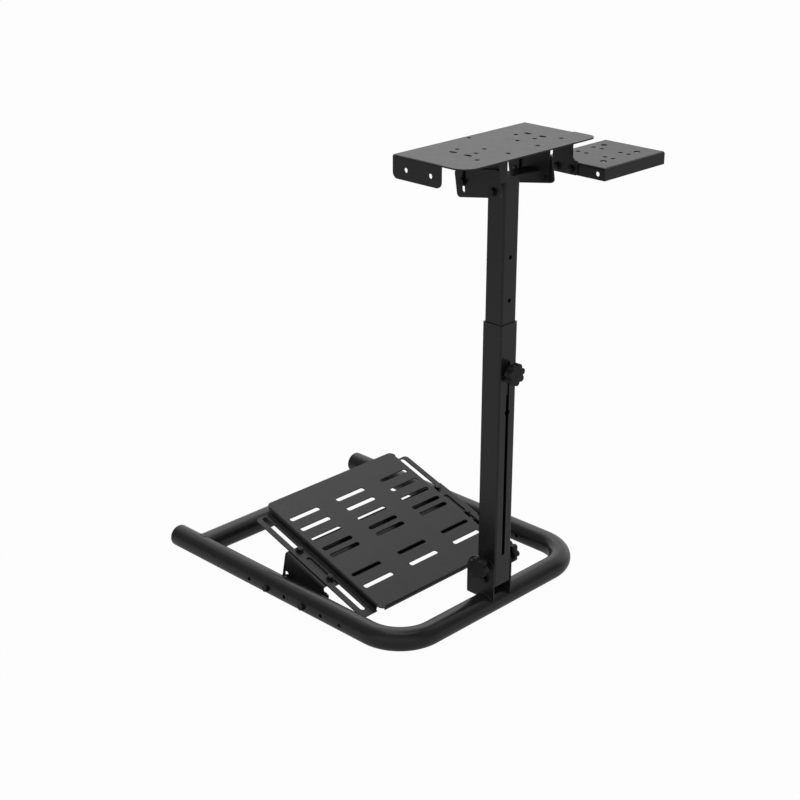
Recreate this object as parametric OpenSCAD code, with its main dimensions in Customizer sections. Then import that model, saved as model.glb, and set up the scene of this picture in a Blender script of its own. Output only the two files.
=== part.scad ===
// Racing wheel stand: tube base, pedal plate, telescopic post, wheel plate and shifter tray.
// Units are millimetres and Z points up. The U frame lies on the floor at Z = 0.

/* [Base frame] */
// outside diameter of the round base tubes
tube_d = 50; // [38:1:60]
// wall of the base and post tubes
tube_wall = 2; // [1.5:0.1:3]
// distance between the centre lines of the two side rails
rail_spacing = 569; // [480:1:680]
// length from the cross rail centre line to the open rail ends
rail_reach = 722; // [600:1:850]
// centre line radius of the two bends of the U
bend_r = 90; // [75:1:130]
// distance from the cross rail centre line to the cross bar
bar_at = 640.6; // [560:0.1:700]
// rounding of the plastic caps on the rail ends
cap_round = 5; // [2:0.5:8]
// length of the cap that shows past the tube end
cap_len = 6; // [4:0.5:12]
// length of the cap plug inside the tube
cap_plug = 18; // [10:1:30]

/* [Rail holes] */
// number of through holes in each rail
rail_hole_n = 6; // [4:1:8]
// distance between neighbouring rail holes
rail_hole_pitch = 57.4; // [50:0.1:70]
// distance from the cross rail centre line to the first rail hole
rail_hole_first = 155; // [120:1:200]
// diameter of the rail holes
rail_hole_d = 9; // [6:0.5:12]

/* [Post foot] */
// thickness of the two foot plates
foot_t = 3; // [2:0.5:5]
// reach of the foot plates away from the user
foot_back = 50; // [40:1:70]
// reach of the foot plates toward the user
foot_front = 25.4; // [22:0.1:30]
// height of the lower edge of the foot plates over the tube centre line
foot_low = 13; // [8:1:18]
// height of the foot plates over the knob axis
foot_over = 12; // [10:1:30]
// rounding of the two lower foot plate corners
foot_round_low = 3; // [1:1:6]
// rounding of the upper foot plate corner toward the user
foot_round_front = 18; // [8:1:24]
// rounding of the upper foot plate corner away from the user
foot_round_back = 34; // [20:1:40]
// height of the lean pivot over the tube centre line
pivot_up = 60; // [56:1:70]
// distance from the lean pivot to the knob bolt
lean_r = 36; // [32:1:45]
// travel of the lean slot in degrees
lean_travel = 45; // [20:1:60]
// shaft diameter of the pivot bolt and the knob bolts
shaft_d = 8; // [6:0.5:10]
// clearance round a shaft in a slot or a loose hole
shaft_gap = 0.5; // [0.3:0.1:1]
// clearance round a shaft that turns in its hole
run_gap = 0.05; // [0.02:0.01:0.1]

/* [Lower post] */
// outside width of the square lower post
low_w = 50; // [45:1:60]
// corner rounding of the square tubes
post_round = 4; // [2:0.5:6]
// height of the lower end over the tube centre line
low_from = 47.9; // [44:0.1:55]
// length of the lower post
low_len = 586.3; // [500:0.1:650]
// play between the lower post and each foot plate
foot_play = 0.5; // [0.3:0.1:1]
// width of the long height slot
slot_w = 9; // [8.5:0.5:12]
// lower end of the height slot over the lower end of the post
slot_from = 67.8; // [55:0.1:90]
// length of the height slot
slot_len = 440; // [300:1:460]
// diameter of the round widening in the slot
keyhole_d = 15; // [12:1:20]
// height of the widening over the lower end of the post
keyhole_up = 395; // [300:1:420]

/* [Upper post] */
// outside width of the square upper post
up_w = 45; // [40:0.5:55]
// distance of the upper end under the top of the wheel plate
post_drop = 58; // [50:1:80]
// part of the upper post that stays inside the lower post
up_inside = 154; // [100:1:180]
// number of holes in the front of the upper post
up_hole_n = 3; // [2:1:4]
// distance between the holes of the upper post
up_hole_pitch = 88.7; // [70:0.1:100]
// distance of the first hole under the upper end
up_hole_first = 158.5; // [120:0.5:180]
// diameter of the holes
up_hole_d = 9; // [6:0.5:12]

/* [Knobs] */
// largest diameter over the lobes
knob_d = 47; // [40:1:55]
// number of lobes
knob_lobes = 7; // [5:1:8]
// radius of one lobe
knob_lobe = 7; // [5:0.5:9]
// radius by which the middle of the grip passes the lobe centres
knob_core = 1.8; // [0:0.1:4]
// depth of the lobed grip
knob_grip = 15; // [10:1:22]
// depth of the neck under the grip
knob_neck = 14; // [8:1:20]
// diameter of the weld nut inside the upper post
knob_nut_d = 14; // [12:1:18]
// height of the weld nut inside the upper post
knob_nut_h = 6; // [4:1:10]
// depth of the neck of the height knob
height_neck = 8; // [6:1:16]
// diameter of the neck
knob_neck_d = 22; // [16:1:28]
// height of the height knob over the tube centre line
height_knob_up = 531; // [500:1:545]

/* [Bolts] */
// width across the flats of the bolt heads
hex_across = 13; // [10:1:17]
// height of the bolt heads
hex_h = 5.5; // [4:0.5:8]
// diameter of the washers
washer_d = 18; // [16:1:24]
// thickness of the washers
washer_t = 1.6; // [1:0.1:2.5]
// play between a tilt washer and its ear
washer_gap = 0.4; // [0.1:0.1:0.8]
// length of a bolt end past its last sheet
bolt_past = 3; // [1:0.5:6]

/* [Head] */
// distance between the outer faces of the two head ears
ear_out = 160; // [140:1:180]
// thickness of the head ears
ear_t = 4; // [3:0.5:6]
// slope of the head ears in degrees
ear_tilt = 9.5; // [0:0.5:15]
// length of an ear along its slope
ear_len = 112; // [100:1:130]
// height of an ear across its slope
ear_h = 54; // [45:1:60]
// corner rounding of an ear
ear_round = 8; // [4:1:14]
// lower back corner of an ear: along the depth
ear_x = -48; // [-60:1:-40]
// lower back corner of an ear: distance under the top of the wheel plate
ear_drop = 93; // [85:1:105]
// width of the cross plate on the post top
web_w = 34; // [28:1:44]
// thickness of the cross plate
web_t = 4; // [3:0.5:6]
// tilt pivot along the depth
tilt_x = 42; // [36:1:48]
// distance of the tilt pivot under the top of the wheel plate
tilt_drop = 66; // [60:1:72]
// distance from the tilt pivot to the slot bolt
tilt_r = 76; // [70:1:82]
// height of the slot bolt over the tilt pivot
tilt_rise = 7; // [3:0.5:10]
// tilt travel with the user side up in degrees
tilt_up = 12; // [6:1:15]
// tilt travel with the user side down in degrees
tilt_down = 12; // [6:1:18]
// play between an ear and its tilt bracket
tilt_play = 1; // [0.5:0.1:2]

/* [Sheet bends] */
// outer radius of the sheet bends
bend_out = 5; // [4:0.5:8]
// inner radius of the sheet bends
bend_in = 2; // [1:0.5:4]

/* [Wheel plate] */
// depth of the wheel plate
plate_d = 185; // [160:1:220]
// width of the wheel plate
plate_w = 388; // [340:1:430]
// thickness of the bent sheet plates
sheet_t = 3; // [2:0.5:4]
// height of the plate top over the tube centre line
plate_up = 988; // [940:1:1020]
// position of the plate edge away from the user
plate_x = -110; // [-125:1:-90]
// rounding of the two plate corners toward the user
plate_round = 34; // [15:1:45]
// rounding of the corner beside the shifter
plate_round_far = 22; // [15:1:45]
// height of the end flanges
flange_h = 45; // [35:1:55]
// length of the end flanges along the depth
flange_len = 124; // [100:1:140]
// rounding of the end flanges
flange_round = 12; // [6:1:18]
// first hole of an end flange from the plate edge
flange_hole_x = 34; // [25:1:45]
// distance between the two holes of an end flange
flange_hole_pitch = 63; // [50:1:75]
// diameter of the flange holes
flange_hole_d = 10; // [7:0.5:12]
// distance of the flange holes under the plate top
flange_hole_z = 25; // [18:1:32]

/* [Wheel holes] */
// sideways offset of the wheel hole pattern
pattern_y = 7; // [0:1:12]
// diameter of the wheel holes
wheel_hole_d = 9.5; // [6:0.5:11]
// length of the short wheel slots
wheel_slot_len = 18; // [12:1:22]
// four holes: position of the back row
quad_x = -51; // [-60:0.1:-45]
// four holes: distance between the rows
quad_pitch = 48; // [40:0.1:60]
// four holes: distance across
quad_across = 171.2; // [165:0.1:180]
// four slots: position of the back row
slots_x = -40.3; // [-45:0.1:-35]
// four slots: distance between the rows
slots_pitch = 38; // [34:0.1:45]
// four slots: distance across
slots_across = 218.6; // [210:0.1:230]
// side holes: position along the depth
side_x = 33; // [28:0.1:40]
// side holes: distance across
side_across = 247.2; // [240:0.1:260]
// middle holes: position along the depth
mid_x = -15.4; // [-22:0.1:-10]
// middle holes: distance across
mid_across = 96.6; // [90:0.1:110]
// front holes: position along the depth
front_x = 39.9; // [34:0.1:46]
// front holes: distance across
front_across = 86.8; // [80:0.1:100]
// back hole: distance from the plate edge
back_hole = 12; // [8:0.5:18]

/* [Tilt bracket] */
// thickness of the tilt brackets
inner_t = 4; // [3:0.5:6]
// height of the bracket arch under the plate
arch_h = 30; // [24:1:40]
// half width of the bracket lugs
lug_r = 11; // [9:1:14]
// front end of the bracket past the pivot
inner_front = 10; // [8:1:16]
// width of the bent front flange
inner_flange = 20; // [14:1:26]
// height of the bent front flange under the plate
inner_flange_h = 48; // [40:1:52]

/* [Shifter] */
// width of the arm at the wheel plate
arm_w = 50; // [40:1:60]
// distance from the plate edge to the arm
arm_x = 72; // [60:1:80]
// arm widening at the tray
arm_foot = 14; // [6:1:20]
// rounding of the widened corners and their height over the tray top
arm_round = 4; // [2:1:6]
// depth of the tray
tray_d = 156.6; // [130:0.1:190]
// width of the tray
tray_w = 200; // [170:1:230]
// distance of the tray top under the top of the wheel plate
tray_drop = 62; // [50:1:70]
// height of the tray flanges
tray_flange = 26; // [18:1:35]
// position of the tray edge away from the user
tray_x = -63; // [-75:1:-50]
// diameter of the large tray holes
tray_hole_big = 14; // [9:0.5:16]
// diameter of the small tray holes
tray_hole_small = 10; // [6:0.5:11]
// distance from the tray edge to the middle of the hole pattern
tray_pattern = 103; // [90:1:120]
// large tray holes: position of the back row
big_x = -32; // [-36:0.1:-25]
// large tray holes: distance between the rows
big_pitch = 85; // [75:0.1:95]
// large tray holes: distance across
big_across = 112; // [100:0.1:130]
// small tray holes: distance across
small_across = 52; // [45:0.1:60]
// small tray holes: position of the outer back row
wide_x = -35.8; // [-45:0.1:-30]
// small tray holes: distance between the outer rows
wide_pitch = 89.6; // [80:0.1:100]
// small tray holes: position of the inner back row
narrow_x = -14.5; // [-20:0.1:-10]
// small tray holes: distance between the inner rows
narrow_pitch = 48; // [40:0.1:55]
// first arm bolt from the tray edge
tray_joint_x = 37; // [30:0.5:45]
// distance between the two arm bolts
tray_joint_pitch = 36.5; // [30:0.5:45]
// spare hole of the tray flange from the tray edge
tray_spare_x = 137.8; // [125:0.1:145]
// height of the arm bolts over the lower edge of the tray flange
tray_joint_z = 11.5; // [8:0.5:16]

/* [Pedal plate] */
// slope of the pedal plate in degrees
slope = 18.3; // [10:0.1:25]
// position of the first slot row along the depth
deck_x = -439.3; // [-470:0.1:-400]
// height of the first slot row over the tube centre line
deck_z = 101.1; // [90:0.1:115]
// plate length behind the first slot row
deck_back = 69; // [50:1:80]
// plate length in front of the first slot row
deck_front = 317; // [290:1:330]
// width of the pedal plate
deck_w = 402; // [360:1:420]
// rounding of the side strip corners
strip_round = 10; // [4:1:16]
// rounding of the plate corners
deck_round = 14; // [6:1:20]
// height of the side walls
wall_h = 15; // [12:1:24]
// width of the side strips
strip_w = 40; // [32:1:45]
// height of the front lip
lip_h = 9.5; // [6:0.5:14]
// length of the deck slots
deck_slot_len = 88; // [60:1:100]
// width of the deck slots
deck_slot_w = 11.5; // [6:0.5:13]
// distance between the three slot columns
deck_col = 142; // [120:0.5:160]
// slot rows along the slope, from the first row
deck_rows = [0, 37, 74, 111, 135.5, 206.3, 246.3];
// width of the long strip slots
strip_slot_w = 13; // [9:0.5:15]
// distance from the deck edge to the strip slots
strip_slot_y = 20; // [14:0.5:24]
// length of the back strip slot
strip_slot_a = 132; // [110:1:136]
// length of the front strip slot
strip_slot_b = 186; // [150:1:190]
// solid strip between the two slots
strip_slot_gap = 19; // [14:1:26]
// front end of the back strip slot from the first slot row
strip_slot_at = 83; // [80:1:90]
// back strip end from the plate edge
strip_back = 16; // [10:1:20]
// front strip end from the plate edge
strip_front = 11; // [8:1:16]

/* [Pedal bridge] */
// distance from the upright plates to the frame centre
bracket_y = 250; // [240:1:256]
// start of the bridge after the first slot row
bracket_from = 62.5; // [55:0.5:68]
// length of the bridge along the slope
bracket_len = 136; // [125:1:150]
// lean of the back edge of the upright plates against the slope
bracket_lean = 7; // [0:1:15]
// front edge of the upright plates along the depth
bracket_front = -252; // [-256:1:-245]
// depth of the bracket plate under the tube centre line
bracket_low = 16; // [10:1:20]
// length of the upright slot for the back rail bolt
bracket_slot_len = 24.5; // [14:0.5:30]
// width of that slot and of the hole for the front rail bolt
bracket_slot_w = 12; // [8.5:0.5:14]
// back pedal bolt after the first slot row
pedal_bolt_a = 76.4; // [72:0.1:82]
// front pedal bolt after the first slot row
pedal_bolt_b = 177.5; // [170:0.1:180]
// radius of the round relief notch at each front corner
bracket_relief = 9; // [6:0.5:11]
// relief notch along the depth
relief_x = -258; // [-262:1:-254]
// height of the relief notch over the tube centre line
relief_z = 18; // [14:1:22]
// reach of the relief notch into the bridge top
relief_in = 12; // [6:1:20]
// diameter of the spacers between rail and bracket
spacer_d = 16; // [13:1:20]
// depth by which a fitted piece is let into its neighbour
seat = 0.3; // [0.1:0.1:0.5]
// root gap under the welds that join plates and tubes to a round tube
weld_gap = 0.2; // [0.1:0.1:0.5]

/* [Hidden] */
$fn = 72;
tube_r = tube_d / 2;
rail_y = rail_spacing / 2;
rail_end = -rail_reach + cap_len;
foot_in = low_w / 2 + foot_play;
knob_up = pivot_up + lean_r;
tray_y0 = plate_w / 2 + sheet_t;
box_front = tray_x + tray_d;
box_right = tray_y0 + tray_w;
shift_x = (rail_reach - box_front) / 2;
shift_y = (rail_y + tube_r + washer_t + hex_h - box_right) / 2;
up_from = low_from + low_len - up_inside;
low_top = low_from + low_len;
ear_in = ear_out / 2 - ear_t;
inner_out = ear_in - tilt_play;
hole_d = shaft_d + 2 * shaft_gap;
run_d = shaft_d + 2 * run_gap;
plate_low = plate_up - sheet_t;
up_top = plate_up - post_drop;
ear_z = plate_up - ear_drop;
tilt_z = plate_up - tilt_drop;
tray_up = plate_up - tray_drop;
slot_bolt_a = asin(tilt_rise / tilt_r);
steel = [0.16, 0.16, 0.17];
plastic = [0.07, 0.07, 0.075];
zinc = [0.1, 0.1, 0.105];

// everything is modelled round the cross rail centre line and then moved to the box centre
module placed() {
  translate([shift_x, shift_y, tube_r]) children();
}

// flat shape standing in the depth and height directions, thickness toward +Y
module standing(t) {
  rotate([90, 0, 0]) translate([0, 0, -t]) linear_extrude(height = t) children();
}

// rectangle from its lower corner with one rounding per corner, anticlockwise
module soft_rect(w, h, r) {
  difference() {
    square([w, h]);
    corner_cut(0, 0, r[0], 0);
    corner_cut(w, 0, r[1], 90);
    corner_cut(w, h, r[2], 180);
    corner_cut(0, h, r[3], 270);
  }
}

module corner_cut(x, y, r, turn) {
  if (r > 0)
    translate([x, y]) rotate(turn) difference() {
      translate([-1, -1]) square(r + 1);
      translate([r, r]) circle(r = r);
    }
}

// inner fillet of a sheet bend whose outer corner is the origin, sheet toward +X and -Y
module bend_fill2d() {
  difference() {
    translate([sheet_t - 1, -sheet_t - bend_in]) square(bend_in + 1);
    translate([sheet_t + bend_in, -sheet_t - bend_in]) circle(r = bend_in);
  }
}

// slot with round ends, centred, its length along X
module slot2d(length, w) {
  translate([-(length - w) / 2, -w / 2]) square([length - w, w]);
  for (s = [-1, 1]) translate([s * (length - w) / 2, 0]) circle(d = w);
}

module square_tube(w, wall, h, r) {
  linear_extrude(height = h) difference() {
    translate([-w / 2, -w / 2]) soft_rect(w, w, [r, r, r, r]);
    translate([-w / 2 + wall, -w / 2 + wall])
      soft_rect(w - 2 * wall, w - 2 * wall, [1, 1, 1, 1] * (r - wall));
  }
}

// solid U along the tube centre line with a given radius
module u_core(r, past) {
  for (s = [-1, 1]) {
    translate([rail_end - past, s * rail_y, 0]) rotate([0, 90, 0])
      cylinder(r = r, h = -rail_end + past - bend_r);
    translate([-bend_r, s * (rail_y - bend_r), 0]) rotate([0, 0, s > 0 ? 0 : -90])
      rotate_extrude(angle = 90) translate([bend_r, 0]) circle(r = r);
  }
  translate([0, -rail_y + bend_r, 0]) rotate([-90, 0, 0])
    cylinder(r = r, h = rail_spacing - 2 * bend_r);
}

module u_frame() {
  color(steel) placed() difference() {
    u_core(tube_r, 0);
    u_core(tube_r - tube_wall, 1);
    for (s = [-1, 1], i = [0 : rail_hole_n - 1])
      translate([-rail_hole_first - i * rail_hole_pitch, s * rail_y, 0])
        rotate([90, 0, 0]) cylinder(d = rail_hole_d, h = tube_d + 2, center = true);
  }
}

module rail_caps() {
  color(plastic) placed() for (s = [-1, 1])
    translate([rail_end, s * rail_y, 0]) rotate([0, -90, 0]) {
      rotate_extrude() {
        square([tube_r - cap_round, cap_len]);
        square([tube_r, cap_len - cap_round]);
        translate([tube_r - cap_round, cap_len - cap_round]) intersection() {
          circle(r = cap_round);
          square(cap_round);
        }
      }
      translate([0, 0, -cap_plug]) cylinder(r = tube_r - tube_wall, h = cap_plug + seat);
    }
}

module cross_bar() {
  color(steel) placed() difference() {
    translate([-bar_at, 0, 0]) rotate([90, 0, 0])
      cylinder(r = tube_r, h = rail_spacing, center = true);
    translate([-bar_at, 0, 0]) rotate([90, 0, 0])
      cylinder(r = tube_r - tube_wall, h = rail_spacing + 2, center = true);
    for (s = [-1, 1]) translate([-bar_at, s * rail_y, 0]) rotate([0, 90, 0])
      cylinder(r = tube_r + weld_gap, h = 4 * tube_d, center = true);
  }
}

// arc slot round the origin between two angles, its ends a hair wider than its sides
module arc_slot2d(r, w, a0, a1) {
  side = w / 2 - 0.1;
  for (a = [a0, a1]) rotate(a) translate([r, 0]) circle(d = w);
  intersection() {
    difference() {
      circle(r = r + side);
      circle(r = r - side);
    }
    polygon([[0, 0], 2 * r * [cos(a0), sin(a0)], 2 * r * [cos(a1), sin(a1)]]);
  }
}

module post_foot() {
  h = knob_up + foot_over - foot_low;
  color(steel) placed() difference() {
    for (y = [-foot_in - foot_t, foot_in]) translate([0, y, 0]) standing(foot_t)
      difference() {
        translate([-foot_back, foot_low])
          soft_rect(foot_back + foot_front, h,
            [foot_round_low, foot_round_low, foot_round_front, foot_round_back]);
        translate([0, pivot_up]) circle(d = shaft_d);
        translate([0, pivot_up]) arc_slot2d(lean_r, hole_d, 90, 90 + lean_travel);
      }
    rotate([90, 0, 0]) cylinder(r = tube_r + weld_gap, h = 4 * low_w, center = true);
  }
}

// bolt head with six flats
module hex_head(across, h) {
  intersection_for (a = [0, 60, 120]) rotate(a)
    translate([-across / 2, -across, 0]) cube([across, 2 * across, h]);
}

module lean_pivot() {
  half = foot_in + foot_t;
  color(zinc) placed() translate([0, 0, pivot_up]) rotate([90, 0, 0]) {
    cylinder(d = shaft_d, h = 2 * (half + hex_h), center = true);
    for (m = [0, 1]) mirror([0, 0, m]) {
      translate([0, 0, half]) cylinder(d = washer_d, h = washer_t);
      translate([0, 0, half + washer_t]) hex_head(hex_across, hex_h);
    }
  }
}

// lobed grip on a neck, standing on z = 0
module knob(neck) {
  ring = knob_d / 2 - knob_lobe;
  cylinder(d = knob_neck_d, h = neck + seat);
  translate([0, 0, neck]) linear_extrude(height = knob_grip) {
    circle(r = ring + knob_core);
    for (i = [0 : knob_lobes - 1]) rotate(i * 360 / knob_lobes)
      translate([ring, 0]) circle(r = knob_lobe);
  }
}

module lean_knobs() {
  half = foot_in + foot_t;
  color(plastic) placed() translate([0, 0, knob_up]) rotate([90, 0, 0]) {
    cylinder(d = shaft_d, h = 2 * half + 2 * seat, center = true);
    for (m = [0, 1]) mirror([0, 0, m]) translate([0, 0, half]) knob(knob_neck);
  }
}

module lower_post() {
  color(steel) placed() translate([0, 0, low_from]) difference() {
    square_tube(low_w, tube_wall, low_len, post_round);
    translate([low_w / 2 - tube_wall - 1, 0, slot_from + slot_len / 2])
      rotate([0, 90, 0]) linear_extrude(height = tube_wall + 2) slot2d(slot_len, slot_w);
    translate([low_w / 2 - tube_wall - 1, 0, keyhole_up])
      rotate([0, 90, 0]) cylinder(d = keyhole_d, h = tube_wall + 2);
    for (z = [pivot_up, knob_up]) translate([0, 0, z - low_from])
      rotate([90, 0, 0]) cylinder(d = z == knob_up ? shaft_d : run_d, h = 2 * low_w, center = true);
  }
}

module upper_post() {
  color(steel) placed() translate([0, 0, up_from]) difference() {
    square_tube(up_w, tube_wall, up_top - up_from, post_round + 0.5);
    for (i = [0 : up_hole_n - 1])
      translate([up_w / 2 - tube_wall - 1, 0, up_top - up_from - up_hole_first - i * up_hole_pitch])
        rotate([0, 90, 0]) cylinder(d = up_hole_d, h = tube_wall + 2);
    translate([up_w / 2 - tube_wall - 1, 0, height_knob_up - up_from])
      rotate([0, 90, 0]) cylinder(d = shaft_d, h = tube_wall + 2);
  }
}

module height_knob() {
  from = up_w / 2 - tube_wall - knob_nut_h;
  color(plastic) placed() translate([0, 0, height_knob_up]) rotate([0, 90, 0]) {
    translate([0, 0, from]) cylinder(d = shaft_d, h = low_w / 2 + washer_t + seat - from);
    translate([0, 0, from]) cylinder(d = knob_nut_d, h = knob_nut_h);
    translate([0, 0, low_w / 2 + seat]) cylinder(d = knob_neck_d + 2, h = washer_t);
    translate([0, 0, low_w / 2 + washer_t]) knob(height_neck);
  }
}

module head_ears() {
  color(steel) placed() for (y = [-ear_out / 2, ear_in]) translate([0, y, 0]) standing(ear_t)
    difference() {
      translate([ear_x, ear_z]) rotate(ear_tilt)
        soft_rect(ear_len, ear_h, [ear_round, ear_round, ear_round, ear_round]);
      translate([tilt_x, tilt_z]) circle(d = shaft_d);
      translate([tilt_x, tilt_z])
        arc_slot2d(tilt_r, hole_d, 179 - slot_bolt_a - tilt_down, 181 - slot_bolt_a + tilt_up);
    }
}

module head_web() {
  color(steel) placed()
    translate([up_w / 2 - web_w, -ear_in, up_top])
      cube([web_w, 2 * ear_in, web_t]);
}

// outline of one tilt bracket side seen from the side
module inner2d() {
  back = tilt_x - tilt_r - lug_r;
  front = tilt_x + inner_front;
  bz = tilt_z + tilt_rise;
  difference() {
    union() {
      translate([back, plate_low - arch_h]) square([front - back, arch_h]);
      translate([tilt_x - inner_front, tilt_z]) square([2 * inner_front, plate_low - tilt_z]);
      translate([tilt_x, tilt_z]) circle(r = inner_front);
      translate([tilt_x - tilt_r - lug_r, bz]) square([2 * lug_r, plate_low - bz]);
      translate([tilt_x - tilt_r, bz]) circle(r = lug_r);
    }
    translate([tilt_x, tilt_z]) circle(d = run_d);
    translate([tilt_x - tilt_r, bz]) circle(d = shaft_d);
  }
}

// left hand tilt bracket with its flanges bent toward the middle
module tilt_bracket() {
  back = tilt_x - tilt_r - lug_r;
  front = tilt_x + inner_front;
  translate([0, -inner_out, 0]) standing(inner_t) inner2d();
  translate([back, -inner_out, plate_low - inner_t])
    cube([front - back, inner_flange + inner_t, inner_t]);
  translate([front - inner_t, -inner_out, plate_low - inner_flange_h])
    cube([inner_t, inner_flange + inner_t, inner_flange_h]);
}

module tilt_bracket_near() {
  color(steel) placed() tilt_bracket();
}

module tilt_bracket_far() {
  color(steel) placed() mirror([0, 1, 0]) tilt_bracket();
}

// bolt shaft through an ear and its tilt bracket, from the outer face of the ear
module tilt_shaft() {
  through = ear_t + tilt_play + inner_t + bolt_past;
  translate([0, 0, -through]) cylinder(d = shaft_d, h = through + washer_t / 2 + washer_gap);
}

module tilt_pivots() {
  color(zinc) placed() for (s = [-1, 1])
    translate([tilt_x, s * ear_out / 2, tilt_z]) rotate([s * -90, 0, 0]) {
      tilt_shaft();
      cylinder(d = washer_d, h = washer_t);
      translate([0, 0, washer_t]) hex_head(hex_across, hex_h);
    }
}

module tilt_bolts() {
  bz = tilt_z + tilt_rise;
  color(zinc) placed() for (s = [-1, 1])
    translate([tilt_x - tilt_r, s * ear_out / 2, bz]) rotate([s * -90, 0, 0]) {
      tilt_shaft();
      translate([0, 0, washer_gap]) cylinder(d = washer_d, h = washer_t);
      translate([0, 0, washer_gap + washer_t]) hex_head(hex_across, hex_h);
    }
}

module plate_holes2d() {
  for (s = [-1, 1]) {
    for (i = [0, 1]) {
      translate([quad_x + i * quad_pitch, s * quad_across / 2]) circle(d = wheel_hole_d);
      translate([slots_x + i * slots_pitch, s * slots_across / 2]) slot2d(wheel_slot_len, wheel_hole_d);
    }
    translate([side_x, s * side_across / 2]) circle(d = wheel_hole_d);
    translate([mid_x, s * mid_across / 2]) circle(d = wheel_hole_d);
    translate([front_x, s * front_across / 2]) circle(d = wheel_hole_d);
  }
  translate([plate_x + back_hole, 0]) circle(d = wheel_hole_d);
}

// moves to the edge of the wheel plate and runs a shape along its end flange
module along_flange() {
  translate([plate_x, -plate_w / 2, plate_up]) rotate([90, 0, 90])
    linear_extrude(height = flange_len) children();
}

module wheel_plate() {
  color(steel) placed() difference() {
    union() {
      translate([0, 0, plate_low]) linear_extrude(height = sheet_t) difference() {
        translate([plate_x, -plate_w / 2])
          soft_rect(plate_d, plate_w, [0, plate_round, plate_round_far, 0]);
        translate([0, pattern_y]) plate_holes2d();
      }
      for (m = [0, 1]) mirror([0, m, 0]) {
        translate([plate_x, -plate_w / 2, plate_up - flange_h]) standing(sheet_t) difference() {
          soft_rect(flange_len, flange_h - seat, [flange_round, flange_round, 0, 0]);
          for (i = [0, 1])
            translate([flange_hole_x + i * flange_hole_pitch, flange_h - flange_hole_z])
              circle(d = flange_hole_d);
        }
        along_flange() bend_fill2d();
      }
    }
    for (m = [0, 1]) mirror([0, m, 0]) along_flange() corner_cut(0, 0, bend_out, 270);
  }
}

module shifter_arm() {
  low = tray_up - tray_flange;
  step = tray_up + arm_round;
  joint_x = tray_x - plate_x - arm_x + tray_joint_x;
  color(steel) placed() translate([plate_x + arm_x, plate_w / 2, 0]) standing(sheet_t)
    difference() {
      union() {
        translate([0, low]) square([arm_w, plate_low - low]);
        translate([0, low]) soft_rect(arm_w + arm_foot, step - low, [0, arm_round, arm_round, 0]);
        translate([arm_w, step]) difference() {
          square(arm_foot - arm_round);
          translate([arm_foot - arm_round, arm_foot - arm_round]) circle(r = arm_foot - arm_round);
        }
      }
      translate([arm_w / 2, plate_up - flange_hole_z]) circle(d = flange_hole_d);
      for (i = [0, 1]) translate([joint_x + i * tray_joint_pitch, low + tray_joint_z])
        circle(d = flange_hole_d);
    }
}

module tray_holes2d() {
  for (s = [-1, 1], i = [0, 1]) {
    translate([big_x + i * big_pitch, s * big_across / 2]) circle(d = tray_hole_big);
    translate([wide_x + i * wide_pitch, s * small_across / 2]) circle(d = tray_hole_small);
    translate([narrow_x + i * narrow_pitch, s * small_across / 2]) circle(d = tray_hole_small);
  }
}

// runs a shape along the joint flange of the tray
module along_tray() {
  rotate([90, 0, 90]) linear_extrude(height = tray_d) children();
}

module shifter_tray() {
  color(steel) placed() translate([tray_x, tray_y0, tray_up]) difference() {
    union() {
      translate([0, 0, -sheet_t]) linear_extrude(height = sheet_t) difference() {
        square([tray_d, tray_w]);
        translate([-tray_x, tray_pattern]) tray_holes2d();
      }
      translate([0, 0, -tray_flange]) standing(sheet_t) difference() {
        square([tray_d, tray_flange - seat]);
        for (x = [tray_joint_x, tray_joint_x + tray_joint_pitch, tray_spare_x])
          translate([x, tray_joint_z]) circle(d = flange_hole_d);
      }
      for (x = [0, tray_d - sheet_t]) translate([x, 0, -tray_flange])
        cube([sheet_t, tray_w, tray_flange - seat]);
      along_tray() bend_fill2d();
      standing(tray_w) bend_fill2d();
      translate([tray_d, 0, 0]) standing(tray_w) mirror([1, 0]) bend_fill2d();
    }
    along_tray() corner_cut(0, 0, bend_out, 270);
    standing(tray_w) corner_cut(0, 0, bend_out, 270);
    standing(tray_w) corner_cut(tray_d, 0, bend_out, 180);
  }
}

module deck_frame() {
  translate([deck_x, 0, deck_z]) rotate([0, slope, 0]) children();
}

// runs a shape along the left hand wall of the pedal plate
module along_wall() {
  translate([-deck_back + deck_round, -deck_w / 2, 0]) rotate([90, 0, 90])
    linear_extrude(height = deck_back + deck_front - 2 * deck_round) children();
}

// left hand wall and slotted strip of the pedal plate
module deck_side() {
  total = deck_back + deck_front;
  translate([-deck_back + deck_round, -deck_w / 2, -wall_h - sheet_t + seat])
    cube([total - 2 * deck_round, sheet_t, wall_h + sheet_t - 2 * seat]);
  along_wall() bend_fill2d();
  along_wall() translate([sheet_t, -wall_h - sheet_t]) rotate(180) bend_fill2d();
  translate([0, 0, -wall_h - sheet_t]) linear_extrude(height = sheet_t) difference() {
    translate([-deck_back + strip_back, -deck_w / 2 - strip_w])
      soft_rect(total - strip_back - strip_front, strip_w + sheet_t, [strip_round, strip_round, 0, 0]);
    translate([strip_slot_at - strip_slot_a / 2, -deck_w / 2 - strip_slot_y])
      slot2d(strip_slot_a, strip_slot_w);
    translate([strip_slot_at + strip_slot_gap + strip_slot_b / 2, -deck_w / 2 - strip_slot_y])
      slot2d(strip_slot_b, strip_slot_w);
  }
}

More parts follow.
